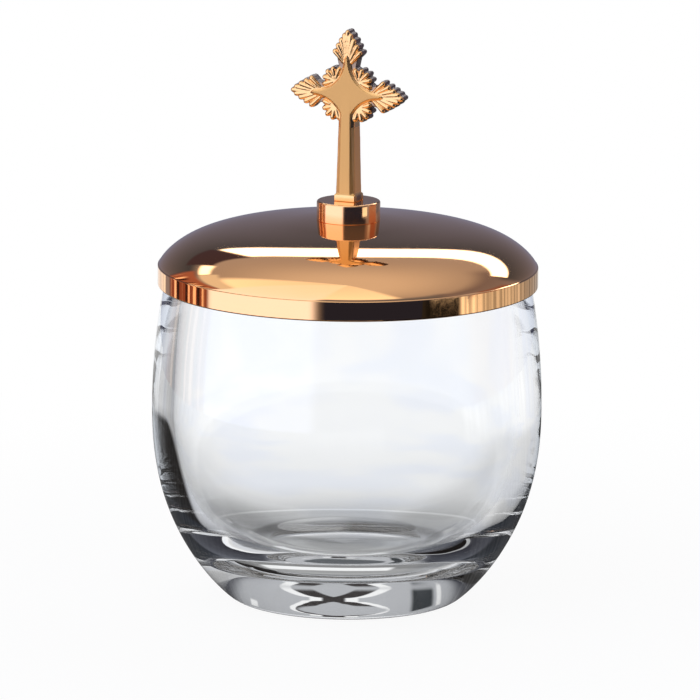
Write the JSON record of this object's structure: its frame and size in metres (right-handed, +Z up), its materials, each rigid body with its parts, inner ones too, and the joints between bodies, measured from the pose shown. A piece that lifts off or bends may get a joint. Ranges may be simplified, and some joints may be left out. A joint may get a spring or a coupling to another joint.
{
  "type": "ablution cup",
  "caption": "Small heavy glass bowl with a loose domed metal lid, topped by a turned collar and a cast cross with fluted fan ends.",
  "frame": {"origin": "centre of the flat foot ring that the glass stands on", "axes": "+Z up through the cross; the cross's face looks along -Y and its arms run along X"},
  "size_m": [0.0718, 0.0718, 0.1063],
  "materials": {
    "clear_glass": "clear, fire polished",
    "gold_plate": "mirror polished gold plate",
    "plain_brass": "plain turned brass",
    "spring_steel": "bright zinc plate"
  },
  "bodies": {
    "cup": {"glass_bowl": "clear_glass"},
    "lid": {"lid_shell": "gold_plate", "collar": "gold_plate", "cross": "gold_plate", "flat_washer": "plain_brass", "lock_washer": "spring_steel", "cap_nut": "plain_brass"}
  },
  "joints": [
    {"name": "lid_lift", "type": "slide", "parent": "cup", "child": "lid", "axis": [0, 0, 1], "range_m": [0, 0.05]}
  ]
}
